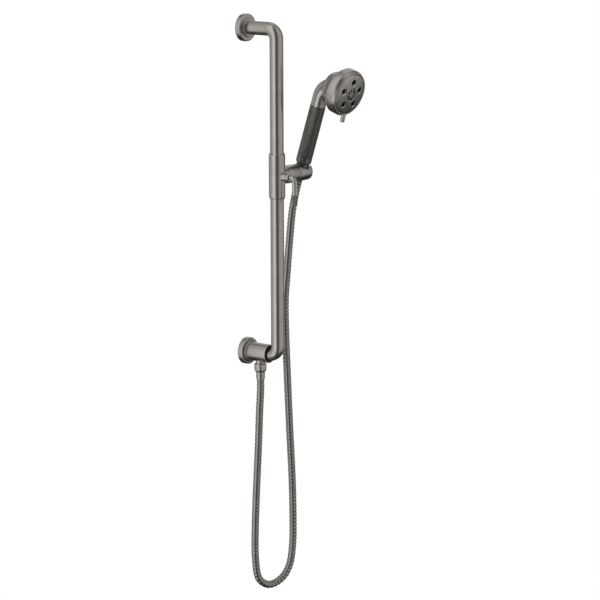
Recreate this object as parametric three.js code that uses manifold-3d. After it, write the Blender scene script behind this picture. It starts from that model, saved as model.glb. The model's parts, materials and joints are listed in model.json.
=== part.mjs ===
// Wall-mounted slide bar with a hand shower on a metal hose.
// Millimetres, +Z up. The origin is the centre of the upper wall bracket's back face.
// The wall is the plane y = 0, the room is at -Y, and the holder arm points to +X.
import * as THREE from 'three';
import { mergeVertices } from 'three/addons/utils/BufferGeometryUtils.js';
import Module from 'manifold-3d';

// ---------------------------------------------------------------- driving dimensions
const tubeRadius = 12.7; // one-inch tube
const tubeWall = 1.5;
const elbowRadius = 18;
const mountSpacing = 610; // between the two wall flanges
const barToWall = 76.5;
const flangeRadius = 25.5;
const flangeDepth = 11;
const supplyRadius = 17.5;
const supplyLength = 58;
const outletToWall = 35;
const sleeveRadius = 15.25;
const sliderZ = -271; // axis of the holder arm and of the lock
const armRadius = 16.9;
const armEnd = 53.3;
const cradleEnd = 88.6;
const handsetX = 73.5;
const handleTilt = THREE.MathUtils.degToRad(17.57); // the top leans away from the wall
const handsetTurn = THREE.MathUtils.degToRad(-4); // about the handle, in the cradle
const gripRadius = 14.64;
const headHeight = 181; // head axis above the cradle axis, along the handle
const headRadius = 43.7;
const neckBend = 29;
const hoseRadius = 7.4;
const gap = 0.3; // between neighbours that touch face to face
const supplyZ = -mountSpacing;

// ---------------------------------------------------------------- materials
const metal = (color, roughness) =>
  new THREE.MeshStandardMaterial({ color, roughness, metalness: 1 });
const plastic = (color, roughness) =>
  new THREE.MeshStandardMaterial({ color, roughness, metalness: 0 });
const brushedNickel = metal(0x9a968c, 0.35);
const gripSteel = metal(0x55524d, 0.5);
const hoseSteel = metal(0x8a867d, 0.3);
const screwSteel = metal(0x6d6a66, 0.4);
const brassMetal = metal(0xa98c50, 0.4);
const rubberBlack = plastic(0x1c1b1a, 0.8);
const nozzleBlack = plastic(0x151413, 0.6);
const bushWhite = plastic(0xd8d5cc, 0.5);
const nylonGrey = plastic(0x77746f, 0.6);

// ---------------------------------------------------------------- solids and booleans
const wasm = await Module();
wasm.setup();

// Merges the vertices, drops the collapsed triangles and turns the faces outward.
function closedMesh(geometry) {
  const bare = geometry.index ? geometry.clone() : geometry;
  bare.deleteAttribute('normal');
  bare.deleteAttribute('uv');
  const merged = mergeVertices(bare, 1e-4);
  const position = merged.attributes.position;
  const corner = [new THREE.Vector3(), new THREE.Vector3(), new THREE.Vector3()];
  const index = [];
  let volume = 0;
  for (let i = 0; i < merged.index.count; i += 3) {
    const face = [0, 1, 2].map((k) => merged.index.getX(i + k));
    if (face[0] === face[1] || face[1] === face[2] || face[2] === face[0]) continue;
    face.forEach((v, k) => corner[k].fromBufferAttribute(position, v));
    volume += corner[0].dot(corner[1].clone().cross(corner[2]));
    index.push(...face);
  }
  if (volume < 0) {
    for (let i = 0; i < index.length; i += 3) {
      [index[i], index[i + 1]] = [index[i + 1], index[i]];
    }
  }
  merged.setIndex(index);
  return merged;
}

function toSolid(geometry) {
  const mesh = closedMesh(geometry);
  return new wasm.Manifold(new wasm.Mesh({
    numProp: 3,
    vertProperties: new Float32Array(mesh.attributes.position.array),
    triVerts: new Uint32Array(mesh.index.array),
  }));
}

function toGeometry(solid) {
  const mesh = solid.getMesh();
  const geometry = new THREE.BufferGeometry();
  geometry.setAttribute('position', new THREE.Float32BufferAttribute(mesh.vertProperties, 3));
  geometry.setIndex([...mesh.triVerts]);
  return geometry;
}

function subtract(base, ...tools) {
  return toGeometry(tools.reduce((solid, tool) => solid.subtract(toSolid(tool)), toSolid(base)));
}

function unite(base, ...others) {
  return toGeometry(others.reduce((solid, other) => solid.add(toSolid(other)), toSolid(base)));
}

function intersect(base, other) {
  return toGeometry(toSolid(base).intersect(toSolid(other)));
}

// ---------------------------------------------------------------- basic shapes
// A body of revolution from [radius, height] pairs. The axis becomes +Z.
function turned(profile, sides = 20) {
  const points = profile.map(([r, h]) => new THREE.Vector2(r, h));
  return new THREE.LatheGeometry(points, sides).rotateX(Math.PI / 2);
}

// A plain ring or tube along +Z.
function ring(outer, inner, from, to, sides = 20) {
  return turned([[inner, from], [outer, from], [outer, to], [inner, to], [inner, from]], sides);
}

function rod(radius, from, to, sides = 16) {
  return turned([[0, from], [radius, from], [radius, to], [0, to]], sides);
}

// The +Z axis of a shape laid along another axis.
const alongX = (geometry) => geometry.rotateY(Math.PI / 2);
const toRoom = (geometry) => geometry.rotateX(Math.PI / 2); // +Z becomes -Y
const down = (geometry) => geometry.rotateX(Math.PI); // +Z becomes -Z

// A path through given stations: each step of an extrusion lands on one station.
class StationPath extends THREE.Curve {
  constructor(stations) {
    super();
    this.stations = stations;
  }

  getPoint(t, target = new THREE.Vector3()) {
    const along = THREE.MathUtils.clamp(t, 0, 1) * (this.stations.length - 1);
    const first = Math.min(Math.floor(along + 1e-9), this.stations.length - 2);
    return target.lerpVectors(this.stations[first], this.stations[first + 1], along - first);
  }

  getTangent(t, target = new THREE.Vector3()) {
    const last = this.stations.length - 1;
    const here = Math.round(t * last);
    const before = this.stations[Math.max(here - 1, 0)];
    const after = this.stations[Math.min(here + 1, last)];
    const middle = this.stations[here];
    target.set(0, 0, 0);
    if (here > 0) target.add(middle.clone().sub(before).normalize());
    if (here < last) target.add(after.clone().sub(middle).normalize());
    return target.normalize();
  }

  getUtoTmapping(u) {
    return u;
  }
}

function polygon(radius, sides) {
  return Array.from({ length: sides }, (_, i) => {
    const angle = (2 * Math.PI * i) / sides;
    return new THREE.Vector2(radius * Math.cos(angle), radius * Math.sin(angle));
  });
}

// A round tube, or a solid rod when no inner radius is given, through the stations.
function swept(stations, outer, inner = 0, sides = 16) {
  const section = new THREE.Shape(polygon(outer, sides));
  if (inner > 0) section.holes.push(new THREE.Path(polygon(inner, sides).reverse()));
  return new THREE.ExtrudeGeometry(section, {
    steps: stations.length - 1,
    extrudePath: new StationPath(stations),
    bevelEnabled: false,
  });
}

// Points on a quarter turn about centre, from direction a to direction b.
function quarterTurn(centre, a, b, radius, steps) {
  return Array.from({ length: steps + 1 }, (_, i) => {
    const angle = (Math.PI / 2) * (i / steps);
    return centre.clone()
      .addScaledVector(a, radius * Math.cos(angle))
      .addScaledVector(b, radius * Math.sin(angle));
  });
}

const X = new THREE.Vector3(1, 0, 0);
const Y = new THREE.Vector3(0, 1, 0);
const Z = new THREE.Vector3(0, 0, 1);
const flip = (v) => v.clone().negate();

const object = new THREE.Group();

function addPart(parent, name, geometry, material) {
  const mesh = new THREE.Mesh(closedMesh(geometry), material);
  mesh.name = name;
  parent.add(mesh);
  return mesh;
}

function addGroup(parent, x, y, z) {
  const group = new THREE.Group();
  group.position.set(x, y, z);
  parent.add(group);
  return group;
}

// ---------------------------------------------------------------- wall set
const bracketDepth = 6.5;
const barSocketDepth = 10.8; // how far the bar's lower end enters the supply body

function slideBar() {
  const upperTurn = new THREE.Vector3(0, -barToWall + elbowRadius, -elbowRadius);
  const lowerTurn = new THREE.Vector3(0, -barToWall + elbowRadius, supplyZ + elbowRadius);
  const stations = [
    new THREE.Vector3(0, -bracketDepth - gap, 0),
    ...quarterTurn(upperTurn, Z, flip(Y), elbowRadius, 6),
    ...quarterTurn(lowerTurn, flip(Y), flip(Z), elbowRadius, 6),
    new THREE.Vector3(0, -supplyLength + barSocketDepth, supplyZ),
  ];
  return swept(stations, tubeRadius, tubeRadius - tubeWall, 18);
}

function upperWallBracket() {
  const discRadius = 23;
  const stubRadius = tubeRadius - tubeWall - 0.4;
  const stubLength = 26;
  const screwOffset = 17;
  const body = turned([[0, 0], [discRadius, 0], [discRadius, bracketDepth],
    [stubRadius, bracketDepth], [stubRadius, stubLength], [0, stubLength]]);
  const screwHole = (x) => turned([[0, -1], [2.3, -1], [2.3, 4], [4.6, 6.6], [4.6, 8], [0, 8]], 12)
    .translate(x, 0, 0);
  const grubHole = rod(2.3, discRadius - 6, discRadius + 1, 10).rotateX(Math.PI / 2)
    .translate(0, 0, 4.5);
  return toRoom(subtract(body, screwHole(screwOffset), screwHole(-screwOffset), grubHole));
}

// A cup-shaped cover, its back open towards the wall.
function flangeCover(holeRadius, withGrubHole) {
  const wall = 1.8;
  const inside = flangeRadius - wall;
  const cover = turned([[inside, gap], [flangeRadius, gap], [flangeRadius, flangeDepth - 1.6],
    [flangeRadius - 0.5, flangeDepth - 0.5], [flangeRadius - 1.6, flangeDepth],
    [holeRadius, flangeDepth], [holeRadius, flangeDepth - 2], [inside, flangeDepth - 2],
    [inside, gap]], 28);
  if (!withGrubHole) return toRoom(cover);
  const grubHole = rod(2.3, inside - 1, flangeRadius + 1, 10).rotateX(Math.PI / 2)
    .translate(0, 0, 4.5);
  return toRoom(subtract(cover, grubHole));
}

// A grub screw with a hexagon socket in its outer end, pointing down from the axis.
function grubScrew(radius, from, to) {
  const body = rod(radius, from, to, 10);
  const socket = rod(radius * 0.55, to - 1.8, to + 1, 6);
  return down(subtract(body, socket));
}

function trimRing(outer, inner, from, to) {
  return toRoom(turned([[inner, from], [outer - 0.6, from], [outer, from + 0.6], [outer, to - 1],
    [outer - 1.4, to], [inner, to], [inner, from]], 24));
}

function supplyBody() {
  const inletRadius = 9.5;
  const inletDepth = 18;
  const passage = 5.5;
  const recessRadius = 16.2;
  const recessDepth = 3.6;
  const body = turned([[inletRadius, 0], [supplyRadius, 0], [supplyRadius, supplyLength - 0.6],
    [supplyRadius - 0.6, supplyLength], [recessRadius, supplyLength],
    [recessRadius, supplyLength - recessDepth], [tubeRadius + 0.35, supplyLength - recessDepth],
    [tubeRadius + 0.35, supplyLength - barSocketDepth - 0.4],
    [0, supplyLength - barSocketDepth - 0.4], [0, 42], [passage, 42], [passage, inletDepth],
    [inletRadius, inletDepth], [inletRadius, 0]], 24);
  const horizontal = toRoom(body);
  const outletBore = rod(4.8, -1, 12, 16).rotateX(Math.PI).translate(0, -outletToWall, 0);
  const spigotSeat = rod(9.1, 9.5, 20, 20).rotateX(Math.PI).translate(0, -outletToWall, 0);
  const grubHole = rod(2.3, tubeRadius, supplyRadius + 1, 10).rotateX(Math.PI)
    .translate(0, -supplyLength + 7.4, 0);
  return subtract(horizontal, outletBore, spigotSeat, grubHole);
}

// Everything below is measured down from the supply axis.
const spigotTop = 9.9;
const spigotShoulder = 20.6;
const spigotEnd = 29.5;
const nutTop = 21;
const nutEnd = 37;
const ferruleEnd = 52;
const threadRadius = 7.8;

function outletSpigot() {
  return turned([[4.5, spigotTop], [8.8, spigotTop], [8.8, spigotShoulder],
    [threadRadius, spigotShoulder], [threadRadius, spigotEnd], [6.1, spigotEnd],
    [6.1, spigotEnd - 7.5], [4.5, spigotEnd - 7.5], [4.5, spigotTop]], 20);
}

function supplyHoseNut() {
  const acrossCorners = 12.9;
  const middle = (nutTop + nutEnd) / 2;
  const half = (nutEnd - nutTop) / 2;
  const hexagon = new THREE.CylinderGeometry(acrossCorners, acrossCorners, 2 * half, 6)
    .rotateX(Math.PI / 2).translate(0, 0, middle);
  const barrel = turned([[0, nutTop], [10.9, nutTop], [12, nutTop + 1.5], [12.3, middle],
    [11.7, nutEnd - 3.2], [9.6, nutEnd], [0, nutEnd]], 24);
  const lipDepth = 1.8;
  const bore = turned([[0, nutTop - 1], [threadRadius + 0.3, nutTop - 1],
    [threadRadius + 0.3, nutEnd - lipDepth], [6.5, nutEnd - lipDepth], [6.5, nutEnd + 1],
    [0, nutEnd + 1]], 20);
  return subtract(intersect(hexagon, barrel), bore);
}

function supplyFerrule() {
  const flangeTop = spigotEnd + 2.7;
  const flangeBottom = nutEnd - 1.8 - gap;
  return turned([[3.6, flangeTop], [7.7, flangeTop], [7.7, flangeBottom], [6.1, flangeBottom],
    [6.1, nutEnd + gap], [8.1, nutEnd + gap], [8.4, nutEnd + 1.5], [8.4, ferruleEnd - 5],
    [7.7, ferruleEnd], [3.6, ferruleEnd], [3.6, flangeTop]], 20);
}

function buildWallSet(parent) {
  const upper = addGroup(parent, 0, 0, 0);
  addPart(upper, 'slide_bar', slideBar(), brushedNickel);
  addPart(upper, 'upper_wall_bracket', upperWallBracket(), screwSteel);
  addPart(upper, 'upper_flange', flangeCover(tubeRadius + 0.5, true), brushedNickel);
  addPart(upper, 'upper_collar',
    trimRing(17.6, tubeRadius + 0.3, flangeDepth + gap, flangeDepth + 2.6), brushedNickel);
  addPart(upper, 'upper_set_screw', grubScrew(2, 17.4, flangeRadius - 0.4)
    .translate(0, -4.5, 0), screwSteel);

  const lower = addGroup(parent, 0, 0, supplyZ);
  addPart(lower, 'supply_body', supplyBody(), brushedNickel);
  addPart(lower, 'lower_wall_seal', toRoom(ring(23.3, supplyRadius + 0.3, 0.3, 2.3)), rubberBlack);
  addPart(lower, 'lower_flange', flangeCover(supplyRadius + 0.4, false), brushedNickel);
  addPart(lower, 'lower_collar',
    trimRing(20.2, supplyRadius + 0.25, flangeDepth + gap, flangeDepth + 4.4), brushedNickel);
  addPart(lower, 'bar_set_screw', grubScrew(2, tubeRadius + 0.3, supplyRadius - 0.4)
    .translate(0, -supplyLength + 7.4, 0), screwSteel);
  const seal = new THREE.TorusGeometry(tubeRadius + 1.8, 1.3, 5, 20).rotateX(Math.PI / 2)
    .translate(0, -supplyLength + 1.8, 0);
  addPart(lower, 'bar_o_ring', seal, rubberBlack);

  const outlet = addGroup(lower, 0, -outletToWall, 0);
  addPart(outlet, 'outlet_spigot', down(outletSpigot()), brushedNickel);
  addPart(outlet, 'supply_check_valve', down(ring(5.8, 2.2, spigotEnd - 7.2, spigotEnd - 0.6, 20)),
    nylonGrey);
  addPart(outlet, 'supply_hose_nut', down(supplyHoseNut()), brushedNickel);
  addPart(outlet, 'supply_hose_washer', down(ring(7.7, 4.2, spigotEnd + gap, spigotEnd + 2.4, 24)),
    rubberBlack);
  addPart(outlet, 'supply_ferrule', down(supplyFerrule()), brushedNickel);
}

// ---------------------------------------------------------------- slider
const bushRadius = sleeveRadius - 1.6;

function sliderBush() {
  const tube = ring(bushRadius, tubeRadius + 0.2, -38.5, 39.5, 24);
  const slit = new THREE.BoxGeometry(8, 2, 90).translate(bushRadius, 0, 0);
  return subtract(tube, slit);
}

// The sleeve reaches further above the arm's axis than below it.
function sliderSleeve() {
  const bore = bushRadius + 0.2;
  const tube = turned([[bore, -41.5], [sleeveRadius - 1.1, -41.5], [sleeveRadius, -38.5],
    [sleeveRadius, 40], [sleeveRadius - 1.1, 43], [bore, 43], [bore, -41.5]], 24);
  const shoeHole = toRoom(rod(5.2, 5, 20, 20));
  return subtract(tube, shoeHole);
}

// The arm's saddle end fits the sleeve and the other end takes the cradle's stub.
const stubSeatRadius = 12;
const stubSeatStart = 38;

function holderArm() {
  const arm = alongX(turned([[3.3, 8], [12.5, 8], [13.2, 16], [armRadius, 27],
    [armRadius, armEnd - 0.7], [armRadius - 0.7, armEnd], [stubSeatRadius, armEnd],
    [stubSeatRadius, stubSeatStart], [3.3, stubSeatStart], [3.3, 8]], 24));
  return subtract(arm, rod(sleeveRadius + 0.25, -40, 40, 28));
}

function lockBoss() {
  const boss = toRoom(ring(7.6, 5.2, 8, 22.5, 20));
  return subtract(boss, rod(sleeveRadius + 0.25, -20, 20, 28));
}

function lockKnob() {
  return toRoom(turned([[4.1, 22.8], [7.9, 22.8], [7.9, 29], [7.2, 29.8], [0, 29.8], [0, 27.6],
    [4.1, 27.6], [4.1, 22.8]], 20));
}

const leverReach = 41; // from the bar's axis to the hanging lever
const leverRadius = 4.95;
const leverDrop = 31.5;

function leverRod() {
  const bend = 9;
  const centre = new THREE.Vector3(0, -leverReach + bend, -bend);
  const stations = [
    new THREE.Vector3(0, -29.8 - gap, 0),
    ...quarterTurn(centre, Z, flip(Y), bend, 5),
    new THREE.Vector3(0, -leverReach, -leverDrop),
  ];
  return swept(stations, leverRadius, 0, 16);
}

function buildSlider(parent) {
  const slider = addGroup(parent, 0, -barToWall, sliderZ);
  addPart(slider, 'slider_bush', sliderBush(), bushWhite);
  addPart(slider, 'slider_sleeve', sliderSleeve(), brushedNickel);
  addPart(slider, 'holder_arm', holderArm(), brushedNickel);
  addPart(slider, 'lock_boss', lockBoss(), brushedNickel);
  addPart(slider, 'clamp_shoe', toRoom(rod(4.9, bushRadius + 0.3, 17.4, 20)), nylonGrey);
  addPart(slider, 'lock_screw', toRoom(rod(3.8, 17.8, 27.3, 16)), screwSteel);
  addPart(slider, 'lock_knob', lockKnob(), brushedNickel);
  addPart(slider, 'lever_rod', leverRod(), brushedNickel);
  const tip = down(turned([[0, leverDrop + gap], [leverRadius, leverDrop + gap],
    [leverRadius, leverDrop + 18.4], [leverRadius - 0.8, leverDrop + 19.2],
    [0, leverDrop + 19.2]], 16)).translate(0, -leverReach, 0);
  addPart(slider, 'lever_tip', tip, gripSteel);
  addPart(slider, 'friction_disc', alongX(ring(11.6, 3.6, stubSeatStart + 0.3, 40.4, 20)),
    nylonGrey);
  addPart(slider, 'wave_washer', alongX(ring(11.4, 3.6, 40.8, 43.4, 20)), screwSteel);
  addPart(slider, 'cradle_bolt', alongX(turned([[0, 22], [3, 22], [3, 57.2], [5.4, 57.2],
    [5.4, 59], [0, 59]], 16)), screwSteel);
}

// ---------------------------------------------------------------- cradle
// The cradle and everything in it stand in the handle's frame: +Z runs up the handle,
// -Y towards the spray side, and the origin is where the handle crosses the arm's axis.
const coneTop = 18.3;
const coneBottom = -14;
const coneRadius = (z) => 9.9 + 0.08 * (z - coneBottom);
const slotWidth = 17;
const linerGap = 0.25;
const linerWall = 1.1;

// A cone that follows the hose nut at a given distance, long enough to cut with.
function seatCone(distance, from = -20, to = 20) {
  return turned([[0, from], [coneRadius(from) + distance, from], [coneRadius(to) + distance, to],
    [0, to]], 24);
}

function hoseSlot(width) {
  const length = 30;
  return new THREE.BoxGeometry(length, width, 60).translate(length / 2, 0, 0);
}

function swivelCradle() {
  const start = armEnd + gap - handsetX;
  const end = cradleEnd - handsetX;
  const stubStart = 43.7 - handsetX;
  const outside = alongX(turned([[0, stubStart], [stubSeatRadius - 0.3, stubStart],
    [stubSeatRadius - 0.3, start], [armRadius - 0.7, start], [armRadius, start + 0.7],
    [armRadius, end - 0.6], [armRadius - 0.6, end], [0, end]], 24));
  const boltHole = alongX(turned([[0, -40], [3.4, -40], [3.4, 56.9 - handsetX],
    [5.7, 56.9 - handsetX], [5.7, 0], [0, 0]], 16));
  const seat = seatCone(linerGap + linerWall + 0.2, -22, 22);
  return subtract(outside, seat, hoseSlot(slotWidth), boltHole);
}

function cradleLiner() {
  const shell = subtract(seatCone(linerGap + linerWall, -20, 20), seatCone(linerGap, -21, 21));
  const trimmed = intersect(shell, alongX(rod(armRadius - 0.8, -30, 30, 24)));
  return subtract(trimmed, hoseSlot(slotWidth - 0.8));
}

function hoseConeNut() {
  return turned([[7.8, coneBottom], [coneRadius(coneBottom), coneBottom],
    [coneRadius(coneTop - 1), coneTop - 1], [coneRadius(coneTop) - 0.7, coneTop],
    [10.4, coneTop], [10.4, 4.5], [7.8, 4.5], [7.8, coneBottom]], 24);
}

function coneStem() {
  return turned([[3.5, coneBottom], [7.5, coneBottom], [7.5, 4.8], [10, 4.8], [10, 6.6],
    [3.5, 6.6], [3.5, coneBottom]], 20);
}

// ---------------------------------------------------------------- handset
const tailTop = 31.5;
const gripTop = 132.7;
const neckInner = 11.6;

function handleTail() {
  const inletRadius = 10.1;
  const inletStart = 9.3;
  return turned([[7, inletStart], [inletRadius, inletStart], [inletRadius, coneTop + gap],
    [12.6, coneTop + gap], [gripRadius, coneTop + 2.8], [gripRadius, tailTop],
    [12.1, tailTop], [12.1, tailTop + 6.5], [8.3, tailTop + 6.5], [8.3, 25], [5.5, 25],
    [5.5, 14.5], [7, 14.5], [7, inletStart]], 24);
}

function neckStations() {
  const centre = new THREE.Vector3(0, -neckBend, headHeight - neckBend);
  return [
    new THREE.Vector3(0, 0, gripTop + gap),
    ...quarterTurn(centre, Y, Z, neckBend, 6).slice(0, -1),
    new THREE.Vector3(0, -neckBend + 1.5, headHeight - 0.1),
  ];
}

// Depths along the head's axis are measured from the handle's axis, towards the spray.
const ringStart = 57.9;

function headShell() {
  const rimStart = 43.9;
  const inner = headRadius - 2.2;
  const outline = [[0, 6.6], [9.4, 6.6], [19.6, 14], [25, 18.1], [27.3, 20.9], [28.9, 25],
    [31.8, 30], [36.7, 36.1], [41.8, 41.6], [headRadius, rimStart + 0.6],
    [headRadius, ringStart - gap], [inner, ringStart - gap], [inner, rimStart + 2.4],
    [34.4, 38.4], [29.4, 32.4], [26.4, 26], [24.8, 22], [22.8, 20], [8.2, 9.4], [0, 9.4]];
  const shell = toRoom(turned(outline, 32)).translate(0, 0, headHeight);
  const neckSpace = swept(neckStations(), gripRadius, 0);
  return subtract(shell, neckSpace);
}

function selectorRing() {
  const tabRadius = 4.2;
  const tabReach = 55;
  const tabDepth = 62.9;
  const body = turned([[38.4, ringStart], [39.2, ringStart], [39.2, 51], [41.1, 51],
    [41.1, ringStart], [headRadius, ringStart], [headRadius, 59], [40.7, 64.6],
    [38.4, 64.6], [38.4, ringStart]], 32);
  const tab = turned([[0, 39.6], [tabRadius, 39.6], [tabRadius, tabReach - 2.2],
    [tabRadius - 1.2, tabReach - 0.5], [tabRadius - 2.4, tabReach], [0, tabReach]], 12)
    .rotateX(Math.PI / 2).translate(0, 0, tabDepth);
  return toRoom(unite(body, tab));
}

const faceRadius = 38;
const faceDepth = 66.4;
const outletCircle = 23.2;
const outletCount = 5;
const insertRadius = 4.6;
const padRadius = 11.6;

// The outlets sit on a circle around the head's axis, the first one at the top.
function outletPlace(i) {
  const angle = Math.PI / 2 + (2 * Math.PI * i) / outletCount;
  return [outletCircle * Math.cos(angle), outletCircle * Math.sin(angle)];
}

function sprayFace() {
  const plate = turned([[padRadius + 0.3, 61.5], [faceRadius - 2, 61.5], [faceRadius - 2, 56],
    [faceRadius, 56], [faceRadius, 64.6], [faceRadius - 1.2, 65.4], [30, 66.1],
    [outletCircle - insertRadius, faceDepth + 0.6], [padRadius + 0.3, faceDepth + 1.4],
    [padRadius + 0.3, 61.5]], 28);
  const holes = Array.from({ length: outletCount }, (_, i) => {
    const [x, y] = outletPlace(i);
    return rod(insertRadius + 0.3, 55, 75, 12).translate(x, y, 0);
  });
  return toRoom(subtract(plate, ...holes));
}

function outletInsert(i) {
  const [x, y] = outletPlace(i);
  const insert = turned([[2.9, 59], [insertRadius, 59], [insertRadius, 65.8], [3.9, 65.8],
    [2.9, 62.5], [2.9, 59]], 12);
  return toRoom(insert.translate(x, y, 0));
}

function nozzlePad() {
  const pad = turned([[3.6, 60.4], [padRadius, 60.4], [padRadius, faceDepth + 1.6], [8, 68.6],
    [0, 69], [0, 64.6], [3.6, 64.6], [3.6, 60.4]], 20);
  const jets = Array.from({ length: 8 }, (_, i) => {
    const angle = Math.PI / 8 + (Math.PI * i) / 4;
    return rod(1.3, 58, 72, 6).translate(8.6 * Math.cos(angle), 8.6 * Math.sin(angle), 0);
  });
  return toRoom(subtract(pad, ...jets));
}

function diverterDisc() {
  const disc = ring(38, 4, 45.8, 48.2, 24);
  const ports = Array.from({ length: outletCount }, (_, i) => {
    const [x, y] = outletPlace(i);
    return rod(3.4, 44, 50, 8).translate(x, y, 0);
  });
  return toRoom(subtract(disc, ...ports));
}

function buildHandset(parent) {
  const tilted = addGroup(parent, handsetX, -barToWall, sliderZ);
  tilted.rotation.x = handleTilt;
  addPart(tilted, 'swivel_cradle', swivelCradle(), brushedNickel);
  addPart(tilted, 'cradle_liner', cradleLiner(), nylonGrey);
  addPart(tilted, 'hose_cone_nut', hoseConeNut(), gripSteel);
  addPart(tilted, 'cone_stem', coneStem(), brassMetal);
  addPart(tilted, 'cone_washer', ring(9.8, 5, 6.9, 9, 24), rubberBlack);

  const handset = addGroup(tilted, 0, 0, 0);
  handset.rotation.z = handsetTurn;
  addPart(handset, 'handle_tail', handleTail(), brushedNickel);
  addPart(handset, 'flow_regulator', ring(6.7, 2.4, 9.7, 14.1, 20), nylonGrey);
  addPart(handset, 'grip_sleeve', ring(gripRadius, 12.4, tailTop + gap, gripTop, 24), gripSteel);
  addPart(handset, 'inner_tube', ring(8, 6.4, 25.4, 141, 20), brassMetal);
  addPart(handset, 'neck_bush', ring(neckInner - 0.3, 8.3, gripTop + 0.6, 141, 20), nylonGrey);
  addPart(handset, 'neck', swept(neckStations(), gripRadius - 0.4, neckInner), brushedNickel);
  addPart(handset, 'head_shell', headShell(), brushedNickel);

  const head = addGroup(handset, 0, 0, headHeight);
  addPart(head, 'face_spindle', toRoom(turned([[1.6, 32], [3.2, 32], [3.2, 60], [3.2, 64.2],
    [1.6, 64.2], [1.6, 32]], 12)), brassMetal);
  addPart(head, 'diverter_disc', diverterDisc(), nylonGrey);
  addPart(head, 'selector_ring', selectorRing(), brushedNickel);
  addPart(head, 'spray_face', sprayFace(), brushedNickel);
  for (let i = 0; i < outletCount; i += 1) {
    addPart(head, `outlet_insert_${i + 1}`, outletInsert(i), nozzleBlack);
  }
  addPart(head, 'centre_nozzle_pad', nozzlePad(), brushedNickel);
  const detentPlace = [30, 0];
  addPart(head, 'detent_spring', toRoom(ring(1.9, 1.2, 53, 61, 12).translate(...detentPlace, 0)),
    screwSteel);
  addPart(head, 'detent_ball', toRoom(new THREE.SphereGeometry(2, 10, 6)
    .translate(...detentPlace, 50.6)), screwSteel);
}

// ---------------------------------------------------------------- hose
// The hose leaves the supply straight down, makes one loop and rises to the cradle.
function hoseEnd(below) {
  const length = -coneBottom + below;
  return new THREE.Vector3(handsetX, -barToWall + length * Math.sin(handleTilt),
    sliderZ - length * Math.cos(handleTilt));
}

function hose() {
  const points = [
    [0, -35, supplyZ - ferruleEnd - gap],
    [0, -35, -680],
    [-2, -34, -720],
    [-6, -33, -800],
    [-10.5, -31, -890],
    [-13, -29.5, -970],
    [-12.5, -29.7, -1015],
    [-7, -32.5, -1054],
    [9.5, -39.5, -1070.5],
    [28, -47, -1070.5],
    [46, -55, -1058],
    [58, -59.5, -1036],
    [63, -62, -1000],
    [64.4, -62.4, -955],
    [62.5, -62, -870],
    [58, -60, -770],
    [53.5, -58, -660],
    [50, -56.5, -560],
    [50, -56.5, -510],
    [53.5, -58, -465],
    [60, -60, -397],
    [66, -62, -345],
  ].map((p) => new THREE.Vector3(...p));
  const route = new THREE.CatmullRomCurve3([...points, hoseEnd(20), hoseEnd(gap)]);
  return swept(route.getSpacedPoints(84), hoseRadius, 0, 8);
}

buildWallSet(object);
buildSlider(object);
buildHandset(object);
addPart(object, 'hose', hose(), hoseSteel);

export default object;
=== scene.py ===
"""The looks of a wall-mounted slide bar with its hand shower and metal hose.

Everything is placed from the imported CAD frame: metres, +Z up, the wall at y = 0, the room at -Y.
Profiles of turned pieces are written in millimetres, as (radius, height, corner radius).
"""

import json
import math

import bmesh
import bpy
from mathutils import Matrix, Vector
from mathutils.geometry import interpolate_bezier


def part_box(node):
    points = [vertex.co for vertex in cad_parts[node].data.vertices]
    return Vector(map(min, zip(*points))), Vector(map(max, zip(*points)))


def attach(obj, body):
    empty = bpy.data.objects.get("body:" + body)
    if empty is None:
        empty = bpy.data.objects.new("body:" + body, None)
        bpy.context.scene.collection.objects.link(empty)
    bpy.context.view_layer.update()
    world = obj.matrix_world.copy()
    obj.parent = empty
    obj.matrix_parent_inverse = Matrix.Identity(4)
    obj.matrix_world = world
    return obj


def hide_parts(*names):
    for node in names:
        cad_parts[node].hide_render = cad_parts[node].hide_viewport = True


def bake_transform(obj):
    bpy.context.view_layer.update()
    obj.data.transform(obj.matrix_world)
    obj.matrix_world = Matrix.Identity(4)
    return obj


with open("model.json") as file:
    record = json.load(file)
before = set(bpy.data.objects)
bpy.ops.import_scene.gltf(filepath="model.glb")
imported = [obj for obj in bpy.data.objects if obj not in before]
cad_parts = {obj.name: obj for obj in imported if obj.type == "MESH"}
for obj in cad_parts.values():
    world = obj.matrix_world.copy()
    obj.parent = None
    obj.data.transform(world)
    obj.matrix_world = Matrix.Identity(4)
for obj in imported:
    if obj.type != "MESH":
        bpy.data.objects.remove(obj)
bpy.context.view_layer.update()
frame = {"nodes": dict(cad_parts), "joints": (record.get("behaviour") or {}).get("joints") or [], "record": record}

MM = 0.001
JOINTS = {joint["name"]: joint for joint in frame["joints"]}
MOUNTS = {mount["name"]: mount for mount in frame["record"]["mounts"]}


# ---------------------------------------------------------------- places
def turn(degrees, axis):
    return Matrix.Rotation(math.radians(degrees), 4, axis)


def move(point):
    return Matrix.Translation(Vector(point))


def frame_of(origin, across, along):
    """A place whose Z runs along one direction, with its X as given and square to it."""
    z = Vector(along).normalized()
    x = Vector(across).normalized()
    y = z.cross(x)
    return move(origin) @ Matrix((x, y, z)).transposed().to_4x4()


def middle(node):
    low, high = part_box(node)
    return (low + high) / 2


TO_ROOM = turn(90, "X")  # +Z of a turned piece points into the room
TO_ARM = turn(90, "Y")  # +Z of a turned piece points along the holder arm
DOWN = turn(180, "X")

SUPPLY_Z = MOUNTS["supply_wall_mount"]["pos_m"][2]
SLIDER_POINT = Vector(JOINTS["slider_swivel"]["pos_m"])
CRADLE_POINT = Vector(JOINTS["handset_turn"]["pos_m"])
HANDLE_UP = Vector(JOINTS["handset_turn"]["axis"])
HEAD_POINT = Vector(JOINTS["selector_turn"]["pos_m"])
SPRAY = Vector(JOINTS["selector_turn"]["axis"])
ACROSS = Vector((1, 0, 0))

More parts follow.
